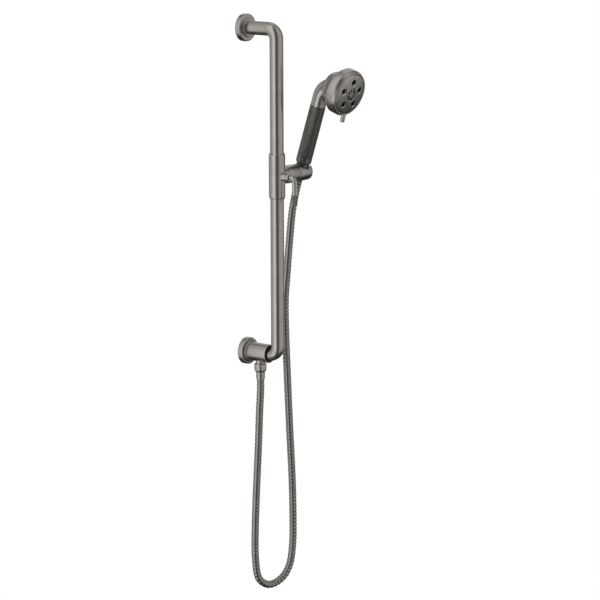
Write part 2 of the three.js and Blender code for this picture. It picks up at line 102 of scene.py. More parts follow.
UPPER = TO_ROOM
SUPPLY = move((0, 0, SUPPLY_Z)) @ TO_ROOM
OUTLET = move((0, middle("outlet_spigot").y, SUPPLY_Z)) @ DOWN
SLIDER = move(SLIDER_POINT)
ARM = move(SLIDER_POINT) @ TO_ARM
LOCK = move(SLIDER_POINT) @ TO_ROOM
CRADLE = frame_of(CRADLE_POINT, ACROSS, HANDLE_UP)
CRADLE_BARREL = move(CRADLE_POINT) @ TO_ARM
HANDSET_ACROSS = HANDLE_UP.cross(SPRAY)
HANDSET = frame_of(CRADLE_POINT, HANDSET_ACROSS, HANDLE_UP)
HEAD = frame_of(HEAD_POINT, HANDSET_ACROSS, SPRAY)

BAR_Y = SLIDER_POINT.y
BAR_RADIUS = 0.0127
BAR_END_Y = -0.0475  # the bar's lower end, inside the supply body
ELBOW_RADIUS = 0.018
HOSE_RADIUS = 0.0074
SMOOTH_ANGLE = math.radians(32)
ARC_POINTS = 5  # on each rounded corner of a profile


# ---------------------------------------------------------------- camera and light
CAMERA_POINT = (-3.2813, -2.5880, 0.3401)
CAMERA_HEADING = -53.15
CAMERA_PITCH = -11.55
CAMERA_ROLL = -0.15
CAMERA_LENS = 135.38
OBJECT_MIDDLE = Vector((0.02, -0.08, -0.52))


def make_camera():
    data = bpy.data.cameras.new("camera")
    data.lens = CAMERA_LENS
    data.sensor_width = 36
    data.clip_end = 60
    camera = bpy.data.objects.new("camera", data)
    bpy.context.scene.collection.objects.link(camera)
    aim = turn(CAMERA_HEADING, "Z") @ turn(90 + CAMERA_PITCH, "X") @ turn(CAMERA_ROLL, "Z")
    camera.matrix_world = move(CAMERA_POINT) @ aim
    bpy.context.scene.camera = camera


# How bright the light tent is round the object: (degrees from the camera, radiance). The degrees are
# negative on the camera's left. The dark stretch at 0 is the opening that the camera looks through.
TENT = [
    (-180, 0.60), (-166, 0.40), (-156, 0.16), (-145, 0.20), (-134, 0.46), (-92, 0.46), (-70, 0.70),
    (-60, 0.94), (-30, 0.96), (-17, 0.20), (-8, 0.08), (10, 0.09), (24, 0.28), (42, 0.50), (72, 0.52),
    (95, 0.50), (112, 0.42), (121, 0.20), (142, 0.16), (156, 0.56), (180, 0.60),
]
TENT_COLOUR = (1.0, 0.985, 0.955, 1)
FLOOR_DIMMING = 0.12  # the tent's lowest part, as a share of its side walls
DIMMING_UP = (0.3, -0.1, 1)  # the way it brightens: up, a little to the camera and to its left
DIMMING_LOW = -0.75
DIMMING_HIGH = -0.48


def make_light():
    """A light tent: soft upright bands of light and dark round the object, dim towards the floor."""
    world = bpy.data.worlds.new("light_tent")
    world.use_nodes = True
    bpy.context.scene.world = world
    tree = world.node_tree
    sky = tree.nodes["Background"]
    sky.inputs["Color"].default_value = TENT_COLOUR
    camera_side = math.atan2(CAMERA_POINT[1] - OBJECT_MIDDLE.y, CAMERA_POINT[0] - OBJECT_MIDDLE.x)
    direction = tree.nodes.new("ShaderNodeTexCoord")
    from_camera = add_node(tree, "ShaderNodeMapping", Rotation=(0, 0, -camera_side))
    parts = tree.nodes.new("ShaderNodeSeparateXYZ")
    bearing = tree.nodes.new("ShaderNodeMath")
    bearing.operation = "ARCTAN2"
    tree.links.new(direction.outputs["Generated"], from_camera.inputs["Vector"])
    tree.links.new(from_camera.outputs["Vector"], parts.inputs["Vector"])
    tree.links.new(parts.outputs["Y"], bearing.inputs[0])
    tree.links.new(parts.outputs["X"], bearing.inputs[1])
    ramp = tree.nodes.new("ShaderNodeValToRGB")
    stops = ramp.color_ramp.elements
    while len(stops) > 1:
        stops.remove(stops[-1])
    stops[0].position = 0
    for degrees, radiance in TENT:
        stop = stops[0] if degrees == TENT[0][0] else stops.new((degrees + 180) / 360)
        stop.color = (radiance, radiance, radiance, 1)
    around_tent = mapped(tree, bearing.outputs["Value"], 0, 1, -math.pi, math.pi)
    tree.links.new(around_tent, ramp.inputs["Fac"])
    height = add_node(tree, "ShaderNodeVectorMath")
    height.operation = "DOT_PRODUCT"
    height.inputs[1].default_value = DIMMING_UP
    tree.links.new(from_camera.outputs["Vector"], height.inputs[0])
    dimming = mapped(tree, height.outputs["Value"], FLOOR_DIMMING, 1, DIMMING_LOW, DIMMING_HIGH)
    strength = tree.nodes.new("ShaderNodeMath")
    strength.operation = "MULTIPLY"
    tree.links.new(ramp.outputs["Color"], strength.inputs[0])
    tree.links.new(dimming, strength.inputs[1])
    tree.links.new(strength.outputs["Value"], sky.inputs["Strength"])
    bpy.context.scene.view_settings.view_transform = "Standard"


FLOOR_Z = -1.35
ROOM_RADIUS = 12


def make_surround():
    """A pale floor and a round wall, which only the camera sees: the tent does the lighting."""
    form = bmesh.new()
    bmesh.ops.create_circle(form, cap_ends=True, segments=64, radius=ROOM_RADIUS)
    floor = to_object("floor", form, move((0, 0, FLOOR_Z)), pale_material())
    form = bmesh.new()
    bmesh.ops.create_icosphere(form, subdivisions=4, radius=ROOM_RADIUS)
    backdrop = to_object("backdrop", form, Matrix.Identity(4), floor.data.materials[0])
    for piece in (floor, backdrop):
        for kind in ("diffuse", "glossy", "transmission", "volume_scatter", "shadow"):
            setattr(piece, f"visible_{kind}", False)


def pale_material():
    material = bpy.data.materials.new("pale_studio")
    material.use_nodes = True
    tree = material.node_tree
    tree.nodes.clear()
    glow = tree.nodes.new("ShaderNodeEmission")
    glow.inputs["Color"].default_value = (1, 1, 1, 1)
    output = tree.nodes.new("ShaderNodeOutputMaterial")
    tree.links.new(glow.outputs["Emission"], output.inputs["Surface"])
    return material


# ---------------------------------------------------------------- materials
BRUSH_LINES = 2500  # noise scales, in cycles to the metre
METAL_CLOUDS = 35
MOTTLE = 60
MOULD_GRAIN = 900
BRUSH_DEPTH = 0.00002
MOULD_DEPTH = 0.00004


def new_material(name):
    material = bpy.data.materials.new(name)
    material.use_nodes = True
    return material, material.node_tree, material.node_tree.nodes["Principled BSDF"]


def add_node(tree, kind, **inputs):
    made = tree.nodes.new(kind)
    for name, value in inputs.items():
        made.inputs[name.replace("_", " ")].default_value = value
    return made


def stretched_noise(tree, scale, noise_scale, detail=4):
    """Noise in the piece's own coordinates, drawn out along its least scaled direction."""
    coordinates = tree.nodes.new("ShaderNodeTexCoord")
    mapping = add_node(tree, "ShaderNodeMapping", Scale=scale)
    noise = add_node(tree, "ShaderNodeTexNoise", Scale=noise_scale, Detail=detail, Roughness=0.6)
    tree.links.new(coordinates.outputs["Object"], mapping.inputs["Vector"])
    tree.links.new(mapping.outputs["Vector"], noise.inputs["Vector"])
    return noise


def mapped(tree, value, low, high, from_low=0.3, from_high=0.7):
    """The value of an output, spread from one range to another."""
    spread = add_node(tree, "ShaderNodeMapRange", From_Min=from_low, From_Max=from_high,
                      To_Min=low, To_Max=high)
    tree.links.new(value, spread.inputs["Value"])
    return spread.outputs["Result"]


def between(tree, factor, dark, light):
    mix = tree.nodes.new("ShaderNodeMix")
    mix.data_type = "RGBA"
    mix.inputs["A"].default_value = (*dark, 1)
    mix.inputs["B"].default_value = (*light, 1)
    tree.links.new(factor, mix.inputs["Factor"])
    return mix.outputs["Result"]


def brushed_metal(name, dark, light, roughness, grain, anisotropy=0.55):
    """Metal with a fine directional grain, soft cloudiness and paler worn edges."""
    material, tree, shader = new_material(name)
    shader.inputs["Metallic"].default_value = 1
    shader.inputs["Anisotropic"].default_value = anisotropy
    shader.inputs["Anisotropic Rotation"].default_value = 0.25
    lines = stretched_noise(tree, grain, BRUSH_LINES)
    clouds = stretched_noise(tree, (1, 1, 1), METAL_CLOUDS, 3)
    edges = tree.nodes.new("ShaderNodeNewGeometry")
    worn = mapped(tree, edges.outputs["Pointiness"], 0, 1, 0.5, 0.6)
    cloudy = between(tree, mapped(tree, clouds.outputs["Fac"], 0, 1), dark, light)
    shine = tree.nodes.new("ShaderNodeMix")
    shine.data_type = "RGBA"
    shine.inputs["B"].default_value = (*[min(1, 1.15 * c) for c in light], 1)
    tree.links.new(worn, shine.inputs["Factor"])
    tree.links.new(cloudy, shine.inputs["A"])
    tree.links.new(shine.outputs["Result"], shader.inputs["Base Color"])
    rough = mapped(tree, lines.outputs["Fac"], roughness - 0.05, roughness + 0.06)
    tree.links.new(rough, shader.inputs["Roughness"])
    bump = add_node(tree, "ShaderNodeBump", Strength=0.12, Distance=BRUSH_DEPTH)
    tree.links.new(lines.outputs["Fac"], bump.inputs["Height"])
    tree.links.new(bump.outputs["Normal"], shader.inputs["Normal"])
    tangent = tree.nodes.new("ShaderNodeTangent")
    tangent.direction_type = "RADIAL"
    tangent.axis = "Z"
    tree.links.new(tangent.outputs["Tangent"], shader.inputs["Tangent"])
    return material


def moulded(name, dark, light, roughness, sheen=0.0, gloss=0.5):
    """Plastic or rubber with a fine moulded grain and slight mottling."""
    material, tree, shader = new_material(name)
    shader.inputs["Specular IOR Level"].default_value = gloss
    mottle = stretched_noise(tree, (1, 1, 1), MOTTLE, 3)
    grain = stretched_noise(tree, (1, 1, 1), MOULD_GRAIN, 3)
    colour = between(tree, mapped(tree, mottle.outputs["Fac"], 0, 1), dark, light)
    tree.links.new(colour, shader.inputs["Base Color"])
    rough = mapped(tree, grain.outputs["Fac"], roughness - 0.08, roughness + 0.08)
    tree.links.new(rough, shader.inputs["Roughness"])
    shader.inputs["Sheen Weight"].default_value = sheen
    bump = add_node(tree, "ShaderNodeBump", Strength=0.3, Distance=MOULD_DEPTH)
    tree.links.new(grain.outputs["Fac"], bump.inputs["Height"])
    tree.links.new(bump.outputs["Normal"], shader.inputs["Normal"])
    return material


ALONG = (1, 1, 0.03)  # grain that runs along the piece's own axis
AROUND = (0.03, 0.03, 1)  # grain left by turning the piece on a lathe
NICKEL_DARK = (0.49, 0.468, 0.443)
NICKEL_LIGHT = (0.57, 0.546, 0.52)


def make_materials():
    return {
        "bar": brushed_metal("nickel_drawn", NICKEL_DARK, NICKEL_LIGHT, 0.24, ALONG),
        "turned": brushed_metal("nickel_turned", NICKEL_DARK, NICKEL_LIGHT, 0.27, AROUND),
        "head": brushed_metal("nickel_head", NICKEL_DARK, NICKEL_LIGHT, 0.25, AROUND, 0.4),
        "knurl": brushed_metal("knurled_steel", (0.155, 0.15, 0.142), (0.21, 0.205, 0.195), 0.22,
                               AROUND, 0.2),
        "smoke": brushed_metal("smoked_steel", (0.19, 0.18, 0.17), (0.25, 0.24, 0.225), 0.3, AROUND),
        "tip": brushed_metal("knurled_tip", (0.26, 0.25, 0.23), (0.34, 0.325, 0.30), 0.36, AROUND,
                             0.2),
        "hose": brushed_metal("hose_steel", (0.33, 0.32, 0.295), (0.40, 0.385, 0.36), 0.19,
                              AROUND, 0.3),
        "screw": brushed_metal("screw_steel", (0.33, 0.32, 0.31), (0.45, 0.44, 0.42), 0.38, AROUND),
        "brass": brushed_metal("brass", (0.55, 0.42, 0.20), (0.72, 0.57, 0.30), 0.32, AROUND),
        "rubber": moulded("rubber", (0.012, 0.012, 0.012), (0.03, 0.029, 0.028), 0.7, sheen=0.15),
        # Black rubber darkened well below the plain rubber as painted shade, so the nozzles read as the dark holes
        # they sit in.
        "nozzle": moulded("nozzle_rubber_painted_shade", (0.003, 0.003, 0.003), (0.008, 0.0075, 0.007), 0.6,
                          gloss=0.15),
        "bush": moulded("acetal_white", (0.62, 0.60, 0.55), (0.74, 0.72, 0.67), 0.42),
        "nylon": moulded("nylon_grey", (0.14, 0.135, 0.125), (0.21, 0.205, 0.19), 0.5),
    }


# ---------------------------------------------------------------- making meshes
def to_object(name, form, place, material):
    """A mesh object from a bmesh, smooth except along its sharp edges."""
    bmesh.ops.recalc_face_normals(form, faces=form.faces)
    mesh = bpy.data.meshes.new(name)
    form.to_mesh(mesh)
    form.free()
    made = bpy.data.objects.new(name, mesh)
    bpy.context.scene.collection.objects.link(made)
    made.matrix_world = place
    mesh.materials.append(material)
    smooth(made)
    return made


def smooth(piece):
    form = bmesh.new()
    form.from_mesh(piece.data)
    for face in form.faces:
        face.smooth = True
    for edge in form.edges:
        edge.smooth = len(edge.link_faces) == 2 and edge.calc_face_angle(0) < SMOOTH_ANGLE
    form.to_mesh(piece.data)
    form.free()


def rounded(profile):
    """The profile with a small arc at each corner that has a third number, its radius."""
    line = []
    for here, (radius, height, *corner) in enumerate(profile):
        point = Vector((radius, height))
        if not corner or here in (0, len(profile) - 1):
            line.append(point)
            continue
        before = Vector(profile[here - 1][:2]) - point
        after = Vector(profile[here + 1][:2]) - point
        reach = min(corner[0], 0.48 * before.length, 0.48 * after.length)
        start = point + before.normalized() * reach
        end = point + after.normalized() * reach
        arc = interpolate_bezier(start, start.lerp(point, 0.6), end.lerp(point, 0.6), end, ARC_POINTS)
        line.extend(Vector(p[:2]) for p in arc)
    return line


def turned(name, profile, place, material, sides=96, closed=False):
    """A body of revolution about the place's Z. A closed profile makes a ring."""
    line = rounded(profile)
    form = bmesh.new()
    loops = []
    for point in line:
        if point.x < 1e-6:
            loops.append([form.verts.new((0, 0, point.y * MM))])
            continue
        loop = []
        for side in range(sides):
            angle = 2 * math.pi * side / sides
            loop.append(form.verts.new((point.x * MM * math.cos(angle),
                                        point.x * MM * math.sin(angle), point.y * MM)))
        loops.append(loop)
    pairs = list(zip(loops, loops[1:]))
    if closed:
        pairs.append((loops[-1], loops[0]))
    for low, high in pairs:
        bridge(form, low, high)
    return to_object(name, form, place, material)


def bridge(form, low, high):
    """Faces between two rings of vertices, either of which may be a single point."""
    sides = max(len(low), len(high))
    for side in range(sides):
        after = (side + 1) % sides
        corners = [low[side % len(low)], low[after % len(low)],
                   high[after % len(high)], high[side % len(high)]]
        unique = list(dict.fromkeys(corners))
        if len(unique) > 2:
            form.faces.new(unique)


def swept(name, path, radius, material, sides=48):
    """A round bar along a path. The radius is a number, or a function of the distance along."""
    form = bmesh.new()
    rings = []
    travelled = 0.0
    across = None
    for here, point in enumerate(path):
        before = path[max(here - 1, 0)]
        after = path[min(here + 1, len(path) - 1)]
        along = (after - before).normalized()
        travelled += (point - before).length
        if across is None:
            across = along.orthogonal().normalized()
        across = (across - along * across.dot(along)).normalized()
        up = along.cross(across)
        size = radius(travelled) if callable(radius) else radius
        ring = []
        for side in range(sides):
            angle = 2 * math.pi * side / sides
            ring.append(form.verts.new(point + across * size * math.cos(angle)
                                       + up * size * math.sin(angle)))
        rings.append(ring)
    for low, high in zip(rings, rings[1:]):
        bridge(form, low, high)
    for end in (rings[0], rings[-1]):
        form.faces.new(end)
    return to_object(name, form, Matrix.Identity(4), material)


def quarter(centre, first, second, radius, steps=20):
    """Points on a quarter turn about a centre, from one direction to another."""
    points = []
    for step in range(steps + 1):
        angle = math.pi / 2 * step / steps
        points.append(Vector(centre) + Vector(first) * radius * math.cos(angle)
                      + Vector(second) * radius * math.sin(angle))
    return points


def apply_modifiers(piece):
    evaluated = piece.evaluated_get(bpy.context.evaluated_depsgraph_get())
    mesh = bpy.data.meshes.new_from_object(evaluated)
    piece.modifiers.clear()
    piece.data = mesh


def carve(piece, *tools, how="DIFFERENCE"):
    """Cuts the tools out of the piece, or crosses or joins it with them, and removes the tools."""
    for tool in tools:
        cut = piece.modifiers.new("cut", "BOOLEAN")
        cut.operation = how
        cut.solver = "EXACT"
        cut.object = tool
        bpy.context.view_layer.update()
        apply_modifiers(piece)
        bpy.data.objects.remove(tool)
    smooth(piece)
    return piece


def soften(piece, width, steps=2):
    """Small rounded edges on a carved piece."""
    bevel = piece.modifiers.new("edges", "BEVEL")
    bevel.width = width
    bevel.segments = steps
    bevel.limit_method = "ANGLE"
    bevel.angle_limit = SMOOTH_ANGLE
    bevel.use_clamp_overlap = True
    apply_modifiers(piece)
    smooth(piece)
    return piece


def rod(radius, low, high, place, sides=64):
    """A plain cylinder to carve with, in millimetres."""
    profile = [(0, low), (radius, low), (radius, high), (0, high)]
    return turned("tool", profile, place, None, sides)


def block(low, high, place):
    """A plain box to carve with, in millimetres."""
    form = bmesh.new()
    size = [(b - a) * MM for a, b in zip(low, high)]
    centre = [(a + b) / 2 * MM for a, b in zip(low, high)]
    bmesh.ops.create_cube(form, size=1, matrix=move(centre) @ Matrix.Diagonal((*size, 1)))
    return to_object("tool", form, place, None)


def knurled(name, radius, low, high, pitch, depth, chamfer, place, material):
    """A turned sleeve with a diamond knurl: each pyramid's peak stands between four valleys."""
    columns = 2 * round(2 * math.pi * radius / pitch)
    rows = 2 * round((high - low - 2 * chamfer) / pitch)
    form = bmesh.new()
    rings = []

    def ring(height, sizes):
        made = []
        for side in range(columns):
            angle = 2 * math.pi * side / columns
            size = sizes[side % 2] * MM
            made.append(form.verts.new((size * math.cos(angle), size * math.sin(angle),
                                        height * MM)))
        rings.append(made)

    end = radius - depth - chamfer
    ring(low, (end, end))
    for row in range(rows + 1):
        height = low + chamfer + (high - low - 2 * chamfer) * row / rows
        at_end = row in (0, rows)
        peak = radius - depth if at_end else radius
        ring(height, (peak, radius - depth) if row % 2 else (radius - depth, peak))
    ring(high, (end, end))
    for here, (lower, upper) in enumerate(zip(rings, rings[1:])):
        for side in range(columns):
            after = (side + 1) % columns
            quad = [lower[side], lower[after], upper[after], upper[side]]
            if (side + here) % 2:
                form.faces.new((quad[0], quad[1], quad[2]))
                form.faces.new((quad[0], quad[2], quad[3]))
            else:
                form.faces.new((quad[0], quad[1], quad[3]))
                form.faces.new((quad[1], quad[2], quad[3]))
    form.faces.new(rings[0])
    form.faces.new(rings[-1])
    made = to_object(name, form, place, material)
    for edge in made.data.edges:
        edge.use_edge_sharp = True
    return made


def stand_for(piece, body, slot, *nodes):
    """The piece replaces its CAD nodes and moves with their body."""
    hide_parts(*nodes)
    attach(piece, body)
    return piece


# ---------------------------------------------------------------- the hose
HOSE_BELOW_CRADLE = (0.034, 0.0143)  # its last two points, down the cone's axis from the cradle
HOSE_ROUTE = [  # its middle line, from the supply's crimp to below the cradle
    (0, -0.035, -0.6623), (0, -0.035, -0.680), (-0.002, -0.034, -0.720), (-0.006, -0.033, -0.800),
    (-0.0105, -0.031, -0.890), (-0.013, -0.0295, -0.970), (-0.0125, -0.0297, -1.015),
    (-0.007, -0.0325, -1.054), (0.0095, -0.0395, -1.0705), (0.028, -0.047, -1.0705),
    (0.046, -0.055, -1.058), (0.058, -0.0595, -1.036), (0.063, -0.062, -1.000),
    (0.0644, -0.0624, -0.955), (0.0625, -0.062, -0.870), (0.058, -0.060, -0.770),
    (0.0535, -0.058, -0.660), (0.050, -0.0565, -0.560), (0.050, -0.0565, -0.510),
    (0.0535, -0.058, -0.465), (0.060, -0.060, -0.397), (0.066, -0.062, -0.345),
]
HOSE_PITCH = 0.0072
HOSE_GROOVE = 0.00085
HOSE_STEPS_PER_RIB = 10
LEG_TOP_Z = -0.67  # the top of the supply leg's blend, which is worked out but not used
LOOP_SIDE_Z = -1.0  # the loop's stretch starts and ends at this height, on either side of the hose's lowest point
SLIDE_END_Z = -0.70  # the riser's stretch ends at this height
SWIVEL_END_Z = -0.485  # the stretch by the swivel ends at this height
TILT_END_Z = -0.373  # the stretch below the holder ends at this height
CONE_FOOT_Z = -0.29  # the top stretch's blend ends here; the blend is worked out but not used
FAR_OFF = 10  # a blend this long, in metres, weighs its two bodies alike all through a thin piece


def smooth_route(points):
    """Many points along a smooth curve through the few that are given."""
    fine = []
    for here in range(len(points) - 1):
        before = points[max(here - 1, 0)]
        start, end = points[here], points[here + 1]
        after = points[min(here + 2, len(points) - 1)]
        reach = (end - start).length
        out = (end - before).normalized() * reach / 3
        into = (after - start).normalized() * reach / 3
        fine.extend(interpolate_bezier(start, start + out, end - into, end, 40)[:-1])
    fine.append(points[-1])
    return fine


def even_steps(line, step):
    """Points a fixed distance apart along a line of many short pieces."""
    length = sum((b - a).length for a, b in zip(line, line[1:]))
    count = round(length / step)
    step = length / count
    points = [line[0]]
    travelled = 0.0
    for a, b in zip(line, line[1:]):
        piece = (b - a).length
        while travelled + piece >= step * len(points) and len(points) < count:
            points.append(a.lerp(b, (step * len(points) - travelled) / piece))
        travelled += piece
    points.append(line[-1])
    return points


def rib(distance):
    """The hose's radius: broad rounded ribs between narrow grooves."""
    share = (distance / HOSE_PITCH) % 1
    return HOSE_RADIUS - HOSE_GROOVE * math.cos(math.pi * share) ** 2


def half_way(line):
    """The blend for a stretch that would keep its shape and move half as far as the slide does."""
    across = (line[-1] - line[0]).cross(Vector((0, 0, 1))).normalized()
    return line[0] - across * FAR_OFF, line[0] + across * FAR_OFF


def upright(start, end):
    """The blend for a stretch that hangs, from one height to another."""
    return Vector((0, 0, start)), Vector((0, 0, end))


def make_hose(material):
    """One ribbed hose in stretches, split at the heights above; no stretch bends across its joint."""
    below = [CRADLE_POINT - HANDLE_UP * far for far in HOSE_BELOW_CRADLE]
    route = [Vector(point) for point in HOSE_ROUTE] + below
    line = even_steps(smooth_route(route), HOSE_PITCH / HOSE_STEPS_PER_RIB)
    lowest = min(range(len(line)), key=lambda i: line[i].z)
    ribs = range(0, len(line), HOSE_STEPS_PER_RIB)
    leg = [i for i in ribs if i < lowest]
    riser = [i for i in ribs if i > lowest]
    loop_start = min(leg, key=lambda i: abs(line[i].z - LOOP_SIDE_Z))
    cuts = [0, loop_start]
    for height in (LOOP_SIDE_Z, SLIDE_END_Z, SWIVEL_END_Z, TILT_END_Z):
        cuts.append(min(riser, key=lambda i: abs(line[i].z - height)))
    cuts.append(len(line) - 1)
    leg_side, riser_side, slide_end, swivel_end, tilt_end = [line[cut].z for cut in cuts[1:-1]]
    # Each stretch is listed with two bodies and a blend, which the loop below doesn't use. The loop's blend weighs
    # its bodies alike, and each blend beside it goes on as far again past the loop's side, so it is halfway there
    # too.
    stretches = [
        ("hose_supply_leg", "wall_set", "slider_bush", upright(LEG_TOP_Z, 2 * leg_side - LEG_TOP_Z)),
        ("hose_loop", "wall_set", "slider_bush", half_way(line[cuts[1]:cuts[2] + 1])),
        ("hose_riser", "wall_set", "slider_bush", upright(2 * riser_side - slide_end, slide_end)),
        ("hose_swivel_part", "slider_bush", "slider", upright(slide_end, swivel_end)),
        ("hose_below_holder", "slider", "cradle", upright(swivel_end, tilt_end)),
        ("hose_top", "cradle", "hose_cone", upright(tilt_end, CONE_FOOT_Z)),
    ]
    for (name, first, second, (start, end)), low, high in zip(stretches, cuts, cuts[1:]):
        path = line[low:high + 1]
        piece = swept(name, path, rib, material, 36)
        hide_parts("hose")
        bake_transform(piece)


# ---------------------------------------------------------------- wall set
def make_bar(material):
    top = quarter((0, BAR_Y + ELBOW_RADIUS, -ELBOW_RADIUS), (0, 0, 1), (0, -1, 0), ELBOW_RADIUS)
    foot = quarter((0, BAR_Y + ELBOW_RADIUS, SUPPLY_Z + ELBOW_RADIUS), (0, -1, 0), (0, 0, -1),
                   ELBOW_RADIUS)
    start = Vector((0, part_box("slide_bar")[1].y, 0))
    end = Vector((0, BAR_END_Y, SUPPLY_Z))
    bar = swept("bar", [start, *top, *foot, end], BAR_RADIUS, material, 80)
    stand_for(bar, "wall_set", "brushed_nickel", "slide_bar")


def make_upper_flange(material):
    cover = turned("top_flange", [
        (23.7, 0.3), (25.5, 0.3, 0.2), (25.5, 9.8, 0.9), (24.3, 11, 0.9), (13.2, 11, 0.3),
        (13.2, 9), (23.7, 9)], UPPER, material, 128, closed=True)
    hole = rod(2.3, 20, 28, move((0, -4.5 * MM, 0)) @ DOWN, 32)
    stand_for(carve(cover, hole), "wall_set", "brushed_nickel", "upper_flange")
    collar = turned("top_collar", [
        (13.0, 11.3), (17.0, 11.3, 0.5), (17.6, 12.2, 0.5), (16.4, 13.6, 0.7), (13.0, 13.6)],
        UPPER, material, 96, closed=True)
    stand_for(collar, "wall_set", "brushed_nickel", "upper_collar")


def make_supply(material):
    body = turned("supply_boss", [
        (9.5, 0), (17.5, 0, 0.3), (17.5, 58, 0.7), (16.3, 58, 0.4), (16.2, 54.4, 0.3), (13.05, 54.4),
        (13.05, 46.8), (0, 46.8)], SUPPLY, material, 128)
    inside = turned("tool", [(0, -1), (9.5, -1), (9.5, 18), (5.5, 18), (5.5, 42), (0, 42)],
                    SUPPLY, None, 64)
    form = bmesh.new()
    form.from_mesh(body.data)
    bmesh.ops.holes_fill(form, edges=[e for e in form.edges if e.is_boundary])
    form.to_mesh(body.data)
    form.free()
    seat = rod(9.1, 9.5, 20, OUTLET)
    screw_hole = rod(2.3, 14, 20, move((0, -50.6 * MM, SUPPLY_Z)) @ DOWN, 32)
    carve(body, inside, seat, screw_hole)
    stand_for(body, "wall_set", "brushed_nickel", "supply_body")
    cover = turned("supply_flange", [
        (23.7, 0.3), (25.5, 0.3, 0.2), (25.5, 9.8, 0.9), (24.3, 11, 0.9), (17.9, 11, 0.3),
        (17.9, 9), (23.7, 9)], SUPPLY, material, 128, closed=True)
    stand_for(cover, "wall_set", "brushed_nickel", "lower_flange")
    collar = turned("supply_collar", [
        (17.75, 11.3), (19.6, 11.3, 0.5), (20.2, 12.0, 0.4), (20.2, 14.4, 0.4), (18.9, 15.4, 0.5),
        (17.75, 15.4)], SUPPLY, material, 96, closed=True)
    stand_for(collar, "wall_set", "brushed_nickel", "lower_collar")
    spigot = turned("hose_spigot", [
        (4.5, 9.9), (8.8, 9.9), (8.8, 20.6, 0.3), (7.7, 20.6), (7.7, 29.5, 0.5), (4.5, 29.5)],
        OUTLET, material, 64, closed=True)
    stand_for(spigot, "wall_set", "brushed_nickel", "outlet_spigot")


def make_supply_nut(material):
    """A crowned hexagon: a prism trimmed by a barrel."""
    bpy.ops.mesh.primitive_cylinder_add(vertices=6, radius=12.9 * MM, depth=16 * MM)
    nut = bpy.context.object
    nut.name = "supply_nut"
    nut.data.transform(move((0, 0, 29 * MM)))
    nut.matrix_world = OUTLET
    nut.data.materials.append(material)
    soften(nut, 0.0009, 3)
    barrel = turned("tool", [
        (0, 21), (10.9, 21, 1.0), (12.0, 22.6, 1), (12.3, 28.5, 3), (11.8, 33.2, 2), (9.5, 37, 0.8),
        (0, 37)], OUTLET, None, 96)
    bore = turned("tool", [(0, 20), (8.1, 20), (8.1, 35.2), (6.5, 35.2), (6.5, 38), (0, 38)],
                  OUTLET, None, 64)
    carve(nut, barrel, how="INTERSECT")
    carve(nut, bore)
    stand_for(nut, "wall_set", "brushed_nickel", "supply_hose_nut")


def make_supply_ferrule(material):
    ferrule = turned("supply_crimp", [
        (3.6, 32.2), (7.7, 32.2, 0.2), (7.7, 34.9), (6.1, 34.9), (6.1, 37.3), (8.0, 37.3, 0.4),
        (8.4, 38.6, 0.3), (8.4, 44.2, 0.3), (8.15, 44.5, 0.2), (8.4, 44.8, 0.3), (8.35, 47, 0.3),
        (7.9, 51.9, 0.5), (3.6, 51.9)], OUTLET, material, 80, closed=True)
    stand_for(ferrule, "wall_set", "brushed_nickel", "supply_ferrule")


# ---------------------------------------------------------------- slider and lock
def make_slider(material, bush_material):
    sleeve = turned("slider_tube", [
        (13.85, -41.5), (13.7, -41.5, 0.2), (15.25, -38.3, 1.0), (15.25, 40.6, 1.0),
        (13.9, 43, 0.4), (13.85, 43)], SLIDER, material, 128, closed=True)
    stand_for(sleeve, "slider", "brushed_nickel", "slider_sleeve")
    bush = turned("slide_bush", [
        (12.95, -38.5, 0.2), (13.65, -38.5, 0.2), (13.65, 39.5, 0.2), (12.95, 39.5, 0.2)],
        SLIDER, bush_material, 96, closed=True)
    carve(bush, block((9, -1, -45), (18, 1, 45), SLIDER))
    stand_for(bush, "slider_bush", "bush_white", "slider_bush")


def make_arm(material):
    arm = turned("holder_arm_barrel", [
        (0, 8), (12.4, 8), (12.9, 14.5, 2), (14.6, 20.5, 6), (16.9, 27.5, 8), (16.9, 53.3, 0.7),
        (12, 53.3, 0.3), (12, 38), (0, 38)], ARM, material, 128)
    carve(arm, rod(15.45, -45, 45, SLIDER, 128), rod(3.3, 0, 45, ARM))
    stand_for(arm, "slider", "brushed_nickel", "holder_arm")
    boss = turned("lock_collar", [
        (5.2, 8), (7.6, 8), (7.6, 22.5, 0.4), (5.2, 22.5)], LOCK, material, 80, closed=True)
    carve(boss, rod(15.45, -30, 30, SLIDER, 128))
    stand_for(boss, "slider", "brushed_nickel", "lock_boss")


LEVER_REACH = 0.041
LEVER_BEND = 0.009
LEVER_RADIUS = 0.00495
LEVER_DROP = 31.5


def make_lock(material, knurl):
    knob = turned("lock_head", [
        (0, 27.6), (4.1, 27.6), (4.1, 22.8), (7.9, 22.8, 0.35), (7.9, 29.8, 0.7), (0, 29.8)],
        LOCK, material, 80)
    stand_for(knob, "lock", "brushed_nickel", "lock_knob")
    centre = SLIDER_POINT + Vector((0, -LEVER_REACH + LEVER_BEND, -LEVER_BEND))
    start = SLIDER_POINT + Vector((0, -0.0301, 0))
    end = SLIDER_POINT + Vector((0, -LEVER_REACH, -LEVER_DROP * MM))
    path = [start, *quarter(centre, (0, 0, 1), (0, -1, 0), LEVER_BEND), end]
    lever = swept("lock_lever", path, LEVER_RADIUS, material)
    stand_for(lever, "lock", "brushed_nickel", "lever_rod")
    tip = knurled("lever_grip", 4.95, LEVER_DROP + 0.3, LEVER_DROP + 19.2, 1.1, 0.25, 0.6,
                  move(SLIDER_POINT + Vector((0, -LEVER_REACH, 0))) @ DOWN, knurl)
    stand_for(tip, "lock", "knurled_steel", "lever_tip")


# ---------------------------------------------------------------- cradle and hose cone
CONE_BOTTOM = -14
CONE_TOP = 18.3


